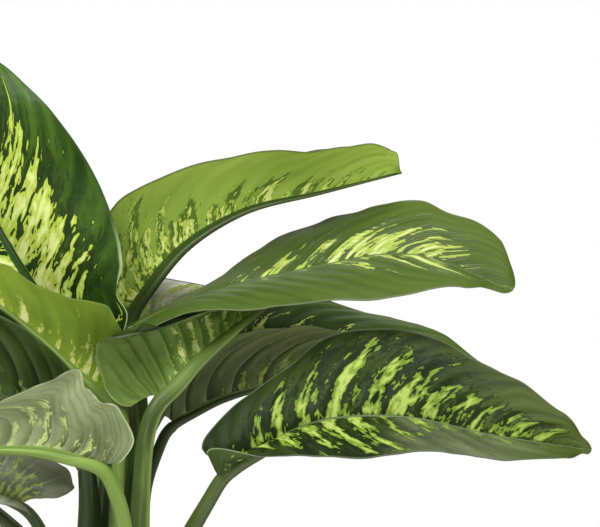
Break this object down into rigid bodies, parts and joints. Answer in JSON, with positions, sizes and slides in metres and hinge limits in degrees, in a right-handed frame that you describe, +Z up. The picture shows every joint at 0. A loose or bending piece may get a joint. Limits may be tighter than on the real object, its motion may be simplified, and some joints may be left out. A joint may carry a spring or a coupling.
{
  "type": "potted dieffenbachia",
  "caption": "Leafy foliage house plant with large variegated leaves on stout canes, standing in a tapered clay pot of soil.",
  "frame": {"origin": "middle of the pot's flat underside, on the surface that it stands on", "axes": "+Z up; +X towards the large right-hand leaves; the plant is looked at along +Y"},
  "size_m": [0.6925, 0.5838, 0.7225],
  "materials": {
    "pot": "matte",
    "soil": "matte",
    "cane": "satin",
    "leaf_dark": "satin",
    "leaf_light": "satin"
  },
  "bodies": {
    "root": {"pot": "pot", "soil": "soil", "cane_right": "cane", "cane_left": "cane", "cane_back": "cane", "leaf_tall": "leaf_dark", "leaf_curled": "leaf_light", "leaf_upper": "leaf_light", "leaf_long": "leaf_dark", "leaf_quilted": "leaf_dark", "leaf_behind": "leaf_dark", "leaf_olive": "leaf_dark", "leaf_broad": "leaf_dark", "leaf_pale": "leaf_light", "leaf_shaded": "leaf_dark", "leaf_low": "leaf_dark", "leaf_left": "leaf_dark", "leaf_left_back": "leaf_dark", "leaf_back_high": "leaf_dark", "leaf_back_right": "leaf_dark", "leaf_front_low": "leaf_dark", "leaf_back_low": "leaf_dark", "leaf_back": "leaf_dark", "leaf_right_low": "leaf_dark"}
  },
  "joints": []
}
